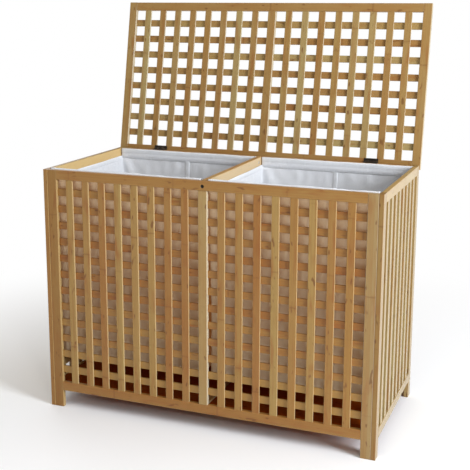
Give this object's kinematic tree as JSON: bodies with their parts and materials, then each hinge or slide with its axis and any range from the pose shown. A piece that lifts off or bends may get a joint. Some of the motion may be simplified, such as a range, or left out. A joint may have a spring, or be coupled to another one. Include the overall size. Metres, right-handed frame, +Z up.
{
  "type": "laundry hamper",
  "caption": "Bamboo lattice laundry chest on short legs, with a hinged lattice lid and side-by-side compartments that hold cloth liners hung on flat rods.",
  "frame": {"origin": "on the floor, under the middle of the box round the whole chest with its lid open", "axes": "+X along the long side, +Y towards the back where the lid is hinged, +Z up"},
  "size_m": [0.734, 0.4292, 0.8763],
  "materials": {
    "bamboo_frame": "satin lacquered bamboo, golden tan with fine lengthwise fibres and darker nodes",
    "bamboo_slat": "satin lacquered bamboo slats, tone varies from slat to slat",
    "rod_wood": "plain sanded wood",
    "floor_board": "thin bamboo board, satin",
    "dowel_wood": "plain beech",
    "liner_cloth": "plain white cotton and polyester weave",
    "hinge_metal": "dark bronze, worn along the edges",
    "screw_metal": "dark bronze screws",
    "bolt_metal": "black oxide socket bolt",
    "nut_steel": "zinc plated"
  },
  "bodies": {
    "case": {"back_bottom_rail": "bamboo_frame", "back_centre_stile": "bamboo_frame", "back_cross_slats": "bamboo_slat", "back_left_stile": "bamboo_frame", "back_right_stile": "bamboo_frame", "back_top_rail": "bamboo_frame", "back_upright_slats": "bamboo_slat", "barrel_nuts": "nut_steel", "centre_bolts": "bolt_metal", "centre_bottom_rail": "bamboo_frame", "centre_rail_dowels": "dowel_wood", "centre_top_rail": "bamboo_frame", "corner_dowels": "dowel_wood", "floor_board_left": "floor_board", "floor_board_right": "floor_board", "floor_ledges": "bamboo_frame", "front_bottom_rail": "bamboo_frame", "front_centre_stile": "bamboo_frame", "front_cross_slats": "bamboo_slat", "front_left_stile": "bamboo_frame", "front_right_stile": "bamboo_frame", "front_top_rail": "bamboo_frame", "front_upright_slats": "bamboo_slat", "hinge_case_screws": "screw_metal", "hinge_left_case_leaf": "hinge_metal", "hinge_left_pin": "hinge_metal", "hinge_right_case_leaf": "hinge_metal", "hinge_right_pin": "hinge_metal", "left_side_back_stile": "bamboo_frame", "left_side_bottom_rail": "bamboo_frame", "left_side_cross_slats": "bamboo_slat", "left_side_front_stile": "bamboo_frame", "left_side_top_rail": "bamboo_frame", "left_side_upright_slats": "bamboo_slat", "liner_left": "liner_cloth", "liner_right": "liner_cloth", "liner_rod_left_back": "rod_wood", "liner_rod_left_front": "rod_wood", "liner_rod_right_back": "rod_wood", "liner_rod_right_front": "rod_wood", "right_side_back_stile": "bamboo_frame", "right_side_bottom_rail": "bamboo_frame", "right_side_cross_slats": "bamboo_slat", "right_side_front_stile": "bamboo_frame", "right_side_top_rail": "bamboo_frame", "right_side_upright_slats": "bamboo_slat"},
    "lid": {"hinge_left_lid_leaf": "hinge_metal", "hinge_lid_screws": "screw_metal", "hinge_right_lid_leaf": "hinge_metal", "lid_centre_rail": "bamboo_frame", "lid_cross_slats": "bamboo_slat", "lid_front_rail": "bamboo_frame", "lid_hinge_rail": "bamboo_frame", "lid_left_rail": "bamboo_frame", "lid_long_slats": "bamboo_slat", "lid_right_rail": "bamboo_frame"}
  },
  "joints": [
    {"name": "lid_hinge", "type": "hinge", "parent": "case", "child": "lid", "pos_m": [0, 0.13667, 0.531], "axis": [1, 0, 0], "range_deg": [0, 101.25]}
  ]
}
